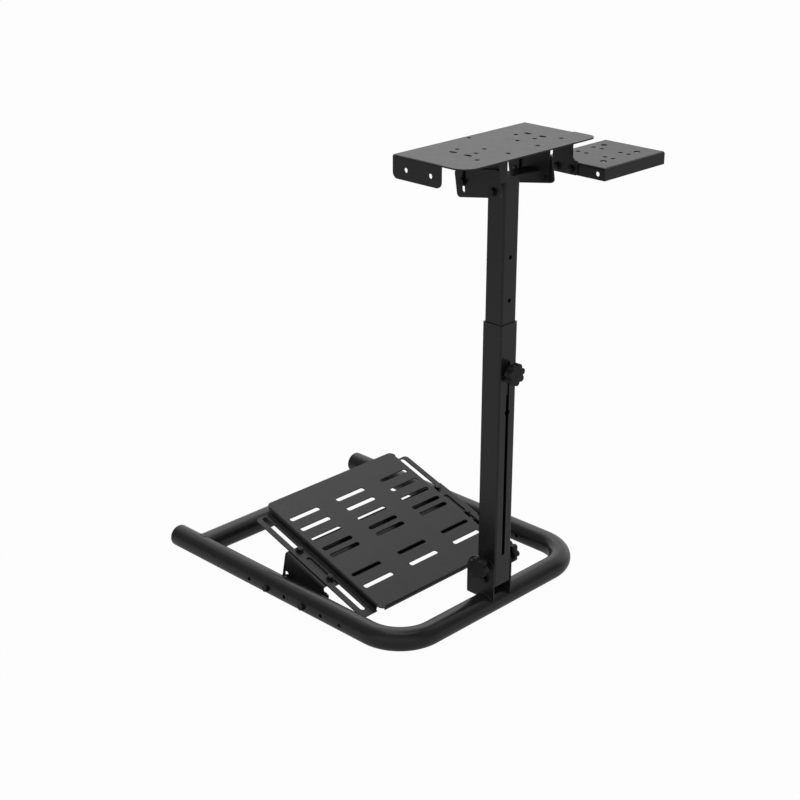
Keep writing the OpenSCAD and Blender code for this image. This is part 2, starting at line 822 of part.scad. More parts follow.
module pedal_deck() {
  lip_w = deck_w - 2 * deck_round;
  color(steel) placed() deck_frame() difference() {
    union() {
      translate([0, 0, -sheet_t]) linear_extrude(height = sheet_t) difference() {
        translate([-deck_back, -deck_w / 2])
          soft_rect(deck_back + deck_front, deck_w, [deck_round, deck_round, deck_round, deck_round]);
        for (u = deck_rows, c = [-1, 0, 1])
          translate([u, c * deck_col]) rotate(90) slot2d(deck_slot_len, deck_slot_w);
      }
      translate([deck_front - sheet_t, -lip_w / 2, -lip_h]) cube([sheet_t, lip_w, lip_h - seat]);
      for (m = [0, 1]) mirror([0, m, 0]) deck_side();
    }
    for (m = [0, 1]) mirror([0, m, 0]) along_wall() {
      corner_cut(0, 0, bend_out, 270);
      corner_cut(sheet_t, -wall_h - sheet_t, bend_out, 90);
    }
    translate([deck_front, -lip_w / 2, 0]) standing(lip_w) corner_cut(0, 0, bend_out, 180);
  }
}

// cross section of the bridge: flat top with both sides bent down
module bridge_section2d(depth) {
  difference() {
    translate([-bracket_y, -depth])
      soft_rect(2 * bracket_y, depth, [0, 0, bend_out, bend_out]);
    translate([-bracket_y + sheet_t, -depth - 1])
      soft_rect(2 * (bracket_y - sheet_t), depth + 1 - sheet_t, [0, 0, bend_in, bend_in]);
  }
}

// side view of the bridge: top along the slope, upright plates cut level under the rail line
module bridge_side2d(top, depth) {
  low = top - bend_out;
  far = bracket_from + 2 * bracket_len;
  difference() {
    translate([deck_x, deck_z]) rotate(-slope)
      polygon([[bracket_from, top + 1], [bracket_from, low],
        [bracket_from + depth * tan(bracket_lean), low - depth], [far, low - depth], [far, low],
        [bracket_from + bracket_len, low], [bracket_from + bracket_len, top + 1]]);
    translate([-rail_reach, -bracket_low - 2 * depth]) square([rail_reach, 2 * depth]);
    translate([bracket_front, -depth]) square([depth, depth + relief_z]);
    translate([-rail_hole_first - 4 * rail_hole_pitch, (bracket_slot_len - bracket_slot_w) / 2])
      rotate(90) slot2d(bracket_slot_len, bracket_slot_w);
    translate([-rail_hole_first - 2 * rail_hole_pitch, 0]) circle(d = bracket_slot_w);
  }
}

module pedal_bridge() {
  top = -wall_h - sheet_t;
  depth = 120;
  color(steel) placed() difference() {
    intersection() {
      deck_frame() translate([bracket_from - bracket_len, 0, top]) rotate([90, 0, 90])
        linear_extrude(height = 3 * bracket_len) bridge_section2d(depth);
      translate([0, -2 * bracket_y, 0]) standing(4 * bracket_y) bridge_side2d(top, depth);
    }
    deck_frame() for (u = [pedal_bolt_a, pedal_bolt_b], s = [-1, 1])
      translate([u, s * (deck_w / 2 + strip_slot_y), top - 2 * sheet_t])
        cylinder(d = hole_d, h = 3 * sheet_t);
    for (m = [0, 1]) mirror([0, m, 0]) translate([relief_x, relief_in - bracket_y, relief_z])
      rotate([90, 0, 0]) cylinder(r = bracket_relief, h = 2 * relief_in);
  }
}

module spacers() {
  gap = rail_y - tube_r - bracket_y;
  color(zinc) placed() for (s = [-1, 1], i = [4, 2])
    translate([-rail_hole_first - i * rail_hole_pitch, s * bracket_y, 0]) rotate([s * -90, 0, 0])
      difference() {
        cylinder(d = spacer_d, h = gap + 1.6);
        translate([0, 0, -1]) cylinder(d = hole_d, h = gap + 4);
        translate([0, 0, gap + tube_r]) rotate([0, 90, 0])
          cylinder(r = tube_r, h = 2 * spacer_d, center = true);
      }
}

// bolts through rail, spacer and bridge, heads on the outer sides of the rails
module rail_bolts() {
  grip = rail_y + tube_r - bracket_y + sheet_t;
  color(zinc) placed() for (s = [-1, 1], i = [4, 2])
    translate([-rail_hole_first - i * rail_hole_pitch, s * (rail_y + tube_r), 0])
      rotate([s * -90, 0, 0]) {
        translate([0, 0, -grip - washer_t - hex_h - bolt_past])
          cylinder(d = shaft_d, h = grip + 2 * washer_t + hex_h + bolt_past);
        cylinder(d = washer_d, h = washer_t);
        translate([0, 0, washer_t]) hex_head(hex_across, hex_h);
        translate([0, 0, -grip - washer_t]) cylinder(d = washer_d, h = washer_t);
        translate([0, 0, -grip - washer_t - hex_h]) hex_head(hex_across, hex_h);
      }
}

u_frame();
rail_caps();
cross_bar();
post_foot();
lean_pivot();
pedal_bridge();
spacers();
rail_bolts();
pedal_deck();
lower_post();
lean_knobs();
upper_post();
height_knob();
head_ears();
head_web();
tilt_pivots();
tilt_bracket_near();
tilt_bracket_far();
tilt_bolts();
wheel_plate();
shifter_arm();
shifter_tray();
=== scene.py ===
"""Looks of the racing wheel stand: coats, plastic, bolts, welds and a plain studio."""

import math

import bmesh
import bpy
import numpy as np
from mathutils import Euler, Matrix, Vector


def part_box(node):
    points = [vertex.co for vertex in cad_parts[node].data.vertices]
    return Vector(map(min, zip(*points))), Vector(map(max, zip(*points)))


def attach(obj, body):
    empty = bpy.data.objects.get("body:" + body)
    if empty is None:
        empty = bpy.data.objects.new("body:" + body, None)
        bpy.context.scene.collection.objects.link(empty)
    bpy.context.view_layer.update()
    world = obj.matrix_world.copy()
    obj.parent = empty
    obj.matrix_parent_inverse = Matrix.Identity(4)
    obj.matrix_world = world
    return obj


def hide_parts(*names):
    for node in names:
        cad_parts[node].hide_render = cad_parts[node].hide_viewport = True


bl_info = {
    "name": "Racing wheel stand looks",
    "version": (1, 0, 0),
    "blender": (4, 5, 0),
    "location": "View3D > Sidebar > Wheel stand",
    "description": "Coats, bolts, welds and studio for a tube frame wheel stand",
    "category": "Object",
}

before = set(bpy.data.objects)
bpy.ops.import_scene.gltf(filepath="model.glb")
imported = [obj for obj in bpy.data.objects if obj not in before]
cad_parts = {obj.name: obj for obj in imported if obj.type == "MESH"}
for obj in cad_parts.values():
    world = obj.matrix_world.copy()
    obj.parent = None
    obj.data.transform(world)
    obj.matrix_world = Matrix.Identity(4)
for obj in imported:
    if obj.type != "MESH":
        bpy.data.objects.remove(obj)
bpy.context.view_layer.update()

# The base lies on the floor. Its box gives the tube radius and the point that all places are measured from:
# the middle of the cross rail.
BASE_LO, BASE_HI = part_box("u_frame")
TUBE_R = (BASE_HI.z - BASE_LO.z) / 2
ORIGIN = np.array([BASE_HI.x - TUBE_R, (BASE_LO.y + BASE_HI.y) / 2, TUBE_R])
RAIL_Y = (BASE_HI.y - BASE_LO.y) / 2 - TUBE_R

PLATE_NODES = (
    "post_foot",
    "pedal_bridge",
    "pedal_deck",
    "head_ears",
    "head_web",
    "tilt_bracket_near",
    "tilt_bracket_far",
    "wheel_plate",
    "shifter_arm",
    "shifter_tray",
)
TUBE_NODES = ("u_frame", "cross_bar", "lower_post", "upper_post")
PLASTIC_NODES = ("rail_caps", "lean_knobs", "height_knob")
HARDWARE_NODES = ("lean_pivot", "spacers", "rail_bolts", "tilt_pivots", "tilt_bolts")
KNOB_NODES = ("lean_knobs", "height_knob")

# Points of a node's mesh that are nearer than this, in metres, are one point.
JOIN_DISTANCE = 1e-6

# Knobs: width of the rounded edge in metres, its steps, the least angle that is rounded, and the angle that
# still counts as flat.
KNOB_EDGE = 0.0018
KNOB_EDGE_STEPS = 3
KNOB_SHARP = math.radians(50)
KNOB_FLAT = math.radians(1)

# Far tilt bracket in millimetres: its wall lies beyond WALL_Y. Its shelf and its front flange lie before
# SHELF_Y, and the flange in front of FLANGE_X.
WALL_Y = 71.2
SHELF_Y = 70.9
FLANGE_X = 47.99

# Pedal deck: its slope, the directions down the slope and away from its top, and x and z of the first slot
# row in millimetres.
DECK_SLOPE = math.radians(18.3)
DECK_U = np.array([math.cos(DECK_SLOPE), 0, -math.sin(DECK_SLOPE)])
DECK_N = np.array([math.sin(DECK_SLOPE), 0, math.cos(DECK_SLOPE)])
DECK_X, DECK_Z = -439.3, 101.1

# Pedal bolts in millimetres: distance from the middle, heights of the two clamped faces over the deck top,
# and for each bolt its place along the slope and its turn in degrees.
PEDAL_BOLT_Y = 221
PEDAL_HEAD_H = -15
PEDAL_NUT_H = -21
PEDAL_BOLTS = ((76.4, 12), (177.5, 40))

# Arm bolts in millimetres: x, z, the y of the head's and of the nut's face, and the turn in degrees.
ARM_BOLTS = (
    (-13, 963, 191, 197, 5),
    (-26, 911.5, 194, 200, 22),
    (10.5, 911.5, 194, 200, 48),
)

# Fasteners. The screw is a share of the width across the flats. The nut's height, the washer's inner radius
# and the free thread are shares of the screw, and the nut's hole is a share of the screw's radius. The turn
# of the nut against the head is in degrees, the rest in metres.
SCREW_SHARE = 0.6
NUT_SHARE = 0.85
NUT_HOLE_SHARE = 0.8
WASHER_HOLE_SHARE = 0.55
THREAD_SHARE = 1.25
NUT_TURN = 17
WASHER_THICK = 0.0015
THREAD_PITCH = 0.00125

# Hexagons: the flat end over the width across the flats, the depth of the turned corners over the step from
# the rim of the flat end to a corner, and where on that depth the flats begin at the foot and at the top.
HEX_END = 0.94
HEX_DEPTH = 0.45
HEX_FOOT = 0.6
HEX_TOP = 0.25

# Threads: rows of points in one pitch, points round, depth of the groove and slope of the chamfer.
THREAD_ROWS = 6
THREAD_SIDES = 24
THREAD_DEPTH = 0.55
THREAD_CHAMFER = 0.9

# Beads. All are over the bead's radius: swell of a ripple and half its length, swell of the slower wave,
# length of the taper, and height of the section. The wave's turn is in radians in a metre, and the tip is
# the least distance from the end that counts, over the length of the taper.
BEAD_RIPPLE = 0.13
BEAD_RIPPLE_RUN = 0.9
BEAD_WAVE = 0.06
BEAD_WAVE_TURN = 310
BEAD_TAPER_RUN = 1.5
BEAD_TIP = 0.02
BEAD_HEIGHT = 0.8
BEAD_SIDES = 14

# Welds: highest and lowest sine round the bar where its bead runs, the bead's lean toward the middle of the
# bar, the arc over the cross rail, the ears' thickness and the bare ends of the web and the post in metres,
# and the radius of the mast's beads over that of the base's.
BAR_TOP, BAR_BOTTOM = 0.985, -0.9
BAR_LEAN = 0.6
FOOT_ARC = (math.radians(33), math.radians(147))
EAR_THICK = 0.004
WEB_END = 0.002
POST_END = 0.006
MAST_BEAD_SHARE = 0.8

# Dust and rubbed lines on the coats.
COAT_DUST = (0.35, 0.34, 0.32)
COAT_SCUFF = (0.03, 0.03, 0.03)
PLASTIC_DUST = (0.25, 0.25, 0.24)
OXIDE_SCUFF = (0.1, 0.1, 0.1)

# Studio: lamps as place, target and size in metres, camera place in millimetres and its angles in degrees,
# sensor in millimetres, near and far limit and floor in metres, and the shares of plain white that the camera
# and gloss see on the floor.
BACK_LAMP = ((-1.7, 1.7, 2.9), (0, 0, 0.5), 2.2)
OVERHEAD_LAMP = ((0.2, -0.2, 3.2), (0, 0, 0.5), 2.0)
EYE = (1938.9, -2270.9, 1694.0)
EYE_DOWN, EYE_ROLL, EYE_TURN = 22.447, -0.033, 44.348
SENSOR = 36.0
CLIP = (0.05, 60)
FLOOR_REACH = 9.0
FLOOR_DROP = 0.0005
FLOOR_CAMERA_SHARE = 0.97
FLOOR_GLOSS_SHARE = 0.25
WHITE = (1, 1, 1, 1)

# Way to the middle of the white backdrop, and the cosines between which it and the front glow set in.
BACKDROP_WAY = (-0.55, 0.75, 0.3)
BACKDROP_SPAN = (0.25, 0.7)
FRONT_SPAN = (-0.2, -0.75)


def at(x, y, z):
    """Point in metres from millimetres.

    x runs from the cross rail toward the user, y from the middle toward the shifter and z up from the tube's
    middle line.
    """
    return ORIGIN + np.array([x, y, z]) / 1000


def on_deck(u, y, h):
    """Point of the sloping deck: u along the slope, h over the deck top, both in millimetres."""
    return at(DECK_X, y, DECK_Z) + (u * DECK_U + h * DECK_N) / 1000


# Geometry helpers. Every surface is a grid of points worked out as whole arrays.


class Shell:
    """Collects grids of points into one mesh."""

    def __init__(self):
        self.points, self.faces, self.count = [], [], 0

    def grid(self, p):
        """Neighbouring points of p, with shape (rows, columns, 3), make quads. Each row is a closed ring."""
        nu, nv = p.shape[:2]
        a, b = np.meshgrid(np.arange(nu - 1), np.arange(nv), indexing="ij")
        a2, b2 = a + 1, (b + 1) % nv
        quads = np.stack([a * nv + b, a2 * nv + b, a2 * nv + b2, a * nv + b2], -1)
        self.points.append(p.reshape(-1, 3))
        self.faces.append(quads.reshape(-1, 4) + self.count)
        self.count += nu * nv

    def build(self, name, body, material, smooth=40):
        """Joins the grids, welds seams and poles, turns the faces outward and hangs the piece on a body."""
        mesh = bpy.data.meshes.new(name)
        points = np.concatenate(self.points).tolist()
        mesh.from_pydata(points, [], np.concatenate(self.faces).tolist())
        work = bmesh.new()
        work.from_mesh(mesh)
        bmesh.ops.remove_doubles(work, verts=work.verts, dist=2e-6)
        bmesh.ops.dissolve_degenerate(work, edges=work.edges, dist=1e-7)
        bmesh.ops.recalc_face_normals(work, faces=work.faces)
        for face in work.faces:
            face.smooth = True
        for edge in work.edges:
            if len(edge.link_faces) == 2 and edge.calc_face_angle(0) > math.radians(smooth):
                edge.smooth = False
        work.to_mesh(mesh)
        work.free()
        mesh.materials.append(material)
        obj = bpy.data.objects.new(name, mesh)
        bpy.context.scene.collection.objects.link(obj)
        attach(obj, body)


def axes(normal, turn=0.0):
    """A unit direction and two unit vectors across it, turned round it by an angle in degrees."""
    n = np.array(normal, float)
    n /= np.linalg.norm(n)
    a = np.cross(n, [0, 0, 1]) if abs(n[2]) < 0.9 else np.cross(n, [0, 1, 0])
    a /= np.linalg.norm(a)
    b = np.cross(n, a)
    t = math.radians(turn)
    return n, a * math.cos(t) + b * math.sin(t), b * math.cos(t) - a * math.sin(t)


def revolve(shell, centre, normal, profile, sides=32, shape=None, turn=0.0):
    """Carries (radius, height) pairs round an axis. shape scales each ring's radius by the angle."""
    n, a, b = axes(normal, turn)
    r, h = np.array(profile, float).T
    t = np.linspace(0, 2 * math.pi, sides, endpoint=False)
    scale = np.ones((len(r), sides)) if shape is None else shape(t, r)
    ring = (r[:, None] * scale)[..., None] * (np.cos(t)[:, None] * a + np.sin(t)[:, None] * b)
    shell.grid(np.array(centre) + ring + h[:, None, None] * n)


def six_flats(across):
    """Scale of a ring's radius for six flats.

    Half the width over the cosine of the angle from the nearest flat, over the ring's radius, at most 1.
    """

    def shape(t, r):
        flat = across / 2 / np.cos((t + math.pi / 6) % (math.pi / 3) - math.pi / 6)
        safe = np.maximum(r, 1e-9)
        return np.minimum(1.0, flat[None, :] / safe[:, None])

    return shape


def hex_piece(shell, centre, normal, across, height, hole=0.0, turn=0.0):
    """Hexagon with turned corners: the rings run from the axis up a cone, down the flats and back."""
    corner = across / math.sqrt(3)
    cone = across / 2 * HEX_END
    drop = (corner - cone) * HEX_DEPTH
    rings = [(hole, 0), (cone, 0), (corner, drop * HEX_FOOT), (corner, height - drop)]
    rings += [(across / 2, height - drop * HEX_TOP), (cone, height), (hole, height)]
    if hole:
        rings.append((hole, 0))
    revolve(shell, centre, normal, rings, 48, six_flats(across), turn)


def washer(shell, centre, normal, outer, inner, thick):
    """Flat ring with broken edges, a closed profile turned round the axis."""
    e = thick * 0.25
    rings = [(inner, 0), (outer - e, 0), (outer, e), (outer, thick - e)]
    rings += [(outer - e, thick), (inner, thick), (inner, 0)]
    revolve(shell, centre, normal, rings, 40)


def thread(shell, centre, normal, radius, length, pitch):
    """Screw end with a chamfer.

    The radius falls and rises once per pitch along the height minus the turned angle.
    """
    n, a, b = axes(normal)
    rows = max(8, int(length / pitch * THREAD_ROWS))
    h = np.linspace(0, length, rows)
    t = np.linspace(0, 2 * math.pi, THREAD_SIDES, endpoint=False)
    phase = (h[:, None] / pitch - t[None, :] / (2 * math.pi)) % 1.0
    r = radius - pitch * THREAD_DEPTH * np.abs(2 * phase - 1)
    r = np.minimum(r, radius - pitch + (length - h)[:, None] * THREAD_CHAMFER)
    pole = np.zeros((1, THREAD_SIDES))
    r = np.concatenate([pole, r, pole])
    h = np.concatenate([[0], h, [length]])
    ring = r[..., None] * (np.cos(t)[:, None] * a + np.sin(t)[:, None] * b)
    shell.grid(np.array(centre) + ring + h[:, None, None] * n)


def bolt_set(shell, head_at, nut_at, outward, across, washer_d, share, turn):
    """Head with washer on one face, nut with washer and screw end on the other, all on one axis."""
    out = np.array(outward, float)
    size = across * SCREW_SHARE
    hole = size * WASHER_HOLE_SHARE
    washer(shell, head_at, out, washer_d / 2, hole, WASHER_THICK)
    hex_piece(shell, head_at + out * WASHER_THICK, out, across, across * share, 0.0, turn)
    washer(shell, nut_at, -out, washer_d / 2, hole, WASHER_THICK)
    nut = nut_at - out * WASHER_THICK
    nut_hole = size / 2 * NUT_HOLE_SHARE
    hex_piece(shell, nut, -out, across, size * NUT_SHARE, nut_hole, turn + NUT_TURN)
    screw = nut_at - out * WASHER_THICK * 0.5
    thread(shell, screw, -out, size / 2, size * THREAD_SHARE, THREAD_PITCH)


def bead(shell, path, out, radius):
    """Weld bead: a flattened round section carried along a path, tapered at both ends.

    Its radius swells with the sine of the run length, once for each ripple, and with a slower sine. Near its
    ends it falls with the root of the distance from the end.
    """
    path, out = np.array(path, float), np.array(out, float)
    step = np.gradient(path, axis=0)
    along = step / np.linalg.norm(step, axis=1)[:, None]
    out = out - (out * along).sum(1)[:, None] * along
    out /= np.linalg.norm(out, axis=1)[:, None]
    side = np.cross(along, out)
    run = np.concatenate([[0], np.cumsum(np.linalg.norm(np.diff(path, axis=0), axis=1))])
    ripple = np.abs(np.sin(run / (radius * BEAD_RIPPLE_RUN) * math.pi / 2))
    swell = radius * (1 + BEAD_RIPPLE * ripple + BEAD_WAVE * np.sin(run * BEAD_WAVE_TURN))
    from_end = np.minimum(run, run[-1] - run) / (radius * BEAD_TAPER_RUN)
    swell = swell * np.clip(from_end, BEAD_TIP, 1) ** 0.5
    t = np.linspace(0, 2 * math.pi, BEAD_SIDES, endpoint=False)
    across = np.cos(t)[:, None] * side[:, None]
    up = np.sin(t)[:, None] * out[:, None] * BEAD_HEIGHT
    p = path[:, None] + swell[:, None, None] * (across + up)
    first, last = (np.repeat(end, BEAD_SIDES, 1) for end in (path[:1, None], path[-1:, None]))
    shell.grid(np.concatenate([first, p, last]))


# Shader helpers.


def new_group(name, inputs, outputs):
    """Empty shader group with float sockets, and its input and output nodes."""
    group = bpy.data.node_groups.new(name, "ShaderNodeTree")
    for label, value in inputs:
        socket = group.interface.new_socket(name=label, in_out="INPUT", socket_type="NodeSocketFloat")
        socket.default_value = value
    for label in outputs:
        group.interface.new_socket(name=label, in_out="OUTPUT", socket_type="NodeSocketFloat")
    return group, group.nodes.new("NodeGroupInput"), group.nodes.new("NodeGroupOutput")


def node(tree, kind, links=None, **values):
    """Adds a node, sets its plain socket values and links its inputs."""
    made = tree.nodes.new(kind)
    for key, value in values.items():
        made.inputs[key].default_value = value
    for key, source in (links or {}).items():
        tree.links.new(source, made.inputs[key])
    return made


def maths(tree, operation, a, b, clamp=False):
    """Math node of two numbers or sockets."""
    made = tree.nodes.new("ShaderNodeMath")
    made.operation, made.use_clamp = operation, clamp
    for i, value in enumerate((a, b)):
        if isinstance(value, (int, float)):
            made.inputs[i].default_value = value
        else:
            tree.links.new(value, made.inputs[i])
    return made.outputs[0]


def principled(name):
    """New material with its tree and its shader."""
    material = bpy.data.materials.new(name)
    material.use_nodes = True
    return material, material.node_tree, material.node_tree.nodes["Principled BSDF"]


def use(tree, group, **values):
    """Places a shared group with its own values. An underscore in a name stands for a space."""
    made = tree.nodes.new("ShaderNodeGroup")
    made.node_tree = bpy.data.node_groups[group]
    for key, value in values.items():
        made.inputs[key.replace("_", " ")].default_value = value
    return made


def mix_colour(tree, mask, a, b):
    """Colour that goes from a to b with the mask. Each is three numbers or a socket."""
    made = tree.nodes.new("ShaderNodeMix")
    made.data_type = "RGBA"
    tree.links.new(mask, made.inputs["Factor"])
    for label, value in (("A", a), ("B", b)):
        socket = [s for s in made.inputs if s.name == label and s.type == "RGBA"][0]
        if hasattr(value, "is_output"):
            tree.links.new(value, socket)
        else:
            socket.default_value = (*value, 1.0)
    return [s for s in made.outputs if s.type == "RGBA"][0]


def map_range(tree, value, span, levels, smooth=False):
    """Carries a value from one span to two levels, along a line or a smooth step."""
    made = tree.nodes.new("ShaderNodeMapRange")
    if smooth:
        made.interpolation_type = "SMOOTHSTEP"
    tree.links.new(value, made.inputs["Value"])
    for label, number in zip(("From Min", "From Max", "To Min", "To Max"), (*span, *levels)):
        made.inputs[label].default_value = number
    return made.outputs["Result"]


def noise_levels(tree, value, low, high):
    """Spreads the middle of a noise over two levels."""
    return map_range(tree, value, (0.3, 0.7), (low, high))


# Shared effects, each a shader group with named inputs and outputs.


def coat_grain_group():
    """Fine pebbles with broad slow waves, out as a height and as a mask that varies the gloss."""
    sizes = [("Pebble size", 700.0), ("Wave size", 60.0)]
    g, i, o = new_group("coat grain", sizes, ["Height", "Gloss mask"])
    place = node(g, "ShaderNodeTexCoord").outputs["Object"]
    pebbles = {"Vector": place, "Scale": i.outputs["Pebble size"]}
    waves = {"Vector": place, "Scale": i.outputs["Wave size"]}
    fine = node(g, "ShaderNodeTexNoise", pebbles, Detail=2.0, Roughness=0.55)
    wave = node(g, "ShaderNodeTexNoise", waves, Detail=3.0, Roughness=0.5)
    high = maths(g, "MULTIPLY_ADD", wave.outputs[0], 0.6)
    g.links.new(fine.outputs[0], high.node.inputs[2])
    g.links.new(high, o.inputs["Height"])
    g.links.new(wave.outputs[0], o.inputs["Gloss mask"])


def dust_group():
    """Settled dust: patchy noise that shows most where the surface faces up."""
    g, i, o = new_group("settled dust", [("Amount", 0.3), ("Patch size", 18.0)], ["Mask"])
    place = node(g, "ShaderNodeTexCoord")
    up = node(g, "ShaderNodeSeparateXYZ", {0: place.outputs["Normal"]}).outputs["Z"]
    patches = {"Vector": place.outputs["Object"], "Scale": i.outputs["Patch size"]}
    patch = node(g, "ShaderNodeTexNoise", patches, Detail=6.0)
    speck = node(g, "ShaderNodeTexNoise", {"Vector": place.outputs["Object"]}, Scale=420.0, Detail=1.0)
    mixed = maths(g, "MULTIPLY", patch.outputs[0], speck.outputs[0])
    raised = maths(g, "MULTIPLY", mixed, maths(g, "MAXIMUM", up, 0.08))
    g.links.new(maths(g, "MULTIPLY", raised, i.outputs["Amount"], clamp=True), o.inputs["Mask"])


def scuff_group():
    """Handling marks: thin stretched noise bands cut to a few fine lines."""
    g, i, o = new_group("fine scuffs", [("Density", 0.62), ("Line size", 260.0)], ["Mask"])
    place = node(g, "ShaderNodeTexCoord").outputs["Object"]
    turned = node(g, "ShaderNodeMapping", {"Vector": place})
    turned.inputs["Rotation"].default_value = (0.3, 0.5, 0.7)
    turned.inputs["Scale"].default_value = (0.06, 1.0, 1.0)
    stretched = {"Vector": turned.outputs[0], "Scale": i.outputs["Line size"]}
    lines = node(g, "ShaderNodeTexNoise", stretched, Detail=2.0)
    area = node(g, "ShaderNodeTexNoise", {"Vector": place}, Scale=9.0, Detail=2.0)
    raised = maths(g, "MULTIPLY", lines.outputs[0], maths(g, "ADD", area.outputs[0], 0.5))
    cut = maths(g, "SUBTRACT", raised, i.outputs["Density"])
    g.links.new(maths(g, "MULTIPLY", cut, 9.0, clamp=True), o.inputs["Mask"])


# Materials.


def finish_surface(tree, shader, grain, colour, rough, drift, bump, depth, ior):
    """Feeds the colour, the gloss that drifts with the grain, and the grain's height into the shader."""
    tree.links.new(colour, shader.inputs["Base Color"])
    gloss = noise_levels(tree, grain.outputs["Gloss mask"], rough - drift, rough + drift)
    tree.links.new(gloss, shader.inputs["Roughness"])
    relief = {"Height": grain.outputs["Height"]}
    height = node(tree, "ShaderNodeBump", relief, Strength=bump, Distance=depth)
    tree.links.new(height.outputs[0], shader.inputs["Normal"])
    shader.inputs["IOR"].default_value = ior


def two_tone(tree, grain, colour, light):
    """Base colour that clouds between two tones with the grain's slow waves."""
    return mix_colour(tree, noise_levels(tree, grain.outputs["Gloss mask"], 0.0, 1.0), colour, light)


def coated_steel(name, colour, rough, pebble, bump):
    """Satin black powder coat: pebbled height, gloss that drifts, a trace of dust and fine scuffs."""
    material, tree, shader = principled(name)
    grain = use(tree, "coat grain", Pebble_size=pebble)
    dust = use(tree, "settled dust", Amount=0.04)
    scuff = use(tree, "fine scuffs", Density=0.72)
    light = tuple(min(1.0, c * 1.2 + 0.001) for c in colour)
    base = two_tone(tree, grain, colour, light)
    dusty = mix_colour(tree, dust.outputs["Mask"], base, COAT_DUST)
    worn = mix_colour(tree, scuff.outputs["Mask"], dusty, COAT_SCUFF)
    finish_surface(tree, shader, grain, worn, rough, drift=0.02, bump=bump, depth=0.0002, ior=1.4)
    return material


def moulded_plastic(name, colour, rough):
    """Black moulded plastic: very fine spark grain, cloudy gloss and a little dust."""
    material, tree, shader = principled(name)
    grain = use(tree, "coat grain", Pebble_size=1500.0, Wave_size=140.0)
    dust = use(tree, "settled dust", Amount=0.16, Patch_size=40.0)
    base = two_tone(tree, grain, colour, tuple(c * 1.5 for c in colour))
    dusty = mix_colour(tree, dust.outputs["Mask"], base, PLASTIC_DUST)
    finish_surface(tree, shader, grain, dusty, rough, drift=0.07, bump=0.35, depth=0.00012, ior=1.36)
    return material


def black_oxide(name, colour, rough):
    """Black oxide on steel: dark metal with cloudy gloss and lighter rubbed lines."""
    material, tree, shader = principled(name)
    grain = use(tree, "coat grain", Pebble_size=1200.0, Wave_size=220.0)
    scuff = use(tree, "fine scuffs", Density=0.64, Line_size=700.0)
    base = two_tone(tree, grain, colour, tuple(c * 1.7 for c in colour))
    rubbed = mix_colour(tree, scuff.outputs["Mask"], base, OXIDE_SCUFF)
    finish_surface(tree, shader, grain, rubbed, rough, drift=0.1, bump=0.3, depth=0.0001, ior=1.5)
    shader.inputs["Metallic"].default_value = 0.85
    return material


def material_of(kind):
    """Finished material by its name."""
    return bpy.data.materials[kind]


# Settings that a user may change.


def colour_prop(name, text, value):
    """Colour setting."""
    return bpy.props.FloatVectorProperty(
        name=name, description=text, subtype="COLOR", size=3, min=0, max=1, default=value
    )


def length_prop(name, text, value):
    """Length setting in metres."""
    return bpy.props.FloatProperty(
        name=name, description=text, subtype="DISTANCE", unit="LENGTH", default=value
    )


def share_prop(name, text, value):
    """Setting between 0 and 1."""
    return bpy.props.FloatProperty(
        name=name, description=text, subtype="FACTOR", min=0, max=1, default=value
    )


def power_prop(name, text, value):
    """Lamp power setting in watts."""
    return bpy.props.FloatProperty(name=name, description=text, unit="POWER", min=0, default=value)


class StandFinishes(bpy.types.PropertyGroup):
    """Colours and gloss of the coats."""

    steel: colour_prop("Steel coat", "Colour of the powder coat", (0.011, 0.011, 0.0115))
    steel_rough: share_prop("Coat roughness", "Roughness of the powder coat", 0.42)
    tube_rough: share_prop("Tube roughness", "Roughness of the tube coat", 0.25)
    plastic: colour_prop("Plastic", "Colour of knobs and caps", (0.004, 0.004, 0.0042))
    plastic_rough: share_prop("Plastic roughness", "Roughness of the plastic", 0.5)
    hardware: colour_prop("Hardware", "Colour of the black oxide", (0.02, 0.02, 0.0215))
    hardware_rough: share_prop("Hardware roughness", "Roughness of bolts", 0.42)


class StandBolts(bpy.types.PropertyGroup):
    """Sizes of the bolts and nuts."""

    pedal_across: length_prop("Pedal bolt head", "Width across the flats of the pedal bolts", 0.013)
    pedal_washer: length_prop("Pedal washer", "Diameter of the pedal bolt washers", 0.019)
    arm_across: length_prop("Arm bolt head", "Width across the flats of the arm bolts", 0.013)
    arm_washer: length_prop("Arm washer", "Diameter of the arm bolt washers", 0.018)
    head_share: share_prop("Head height", "Head height over its width", 0.5)


class StandWelds(bpy.types.PropertyGroup):
    """Size of the weld beads."""

    bead: length_prop("Bead radius", "Radius of the weld beads", 0.0014)


class StandStudio(bpy.types.PropertyGroup):
    """Floor, lamps and camera."""

    floor: colour_prop("Floor", "Colour of the floor", (0.65, 0.65, 0.65))
    back: power_prop("Back lamp", "Power of the lamp behind the stand", 15.0)
    overhead: power_prop("Overhead lamp", "Power of the lamp over the stand", 16.0)
    sky: share_prop("Sky", "Strength of the even light all round", 0.52)
    room: share_prop("Room", "What gloss sees at the sides of the room", 0.24)
    front: share_prop("Front", "What gloss sees more at the user's side", 0.45)
    lens: bpy.props.FloatProperty(
        name="Lens", description="Focal length in millimetres", unit="CAMERA", default=71.09
    )


# Operators, one for each piece or group of like pieces.


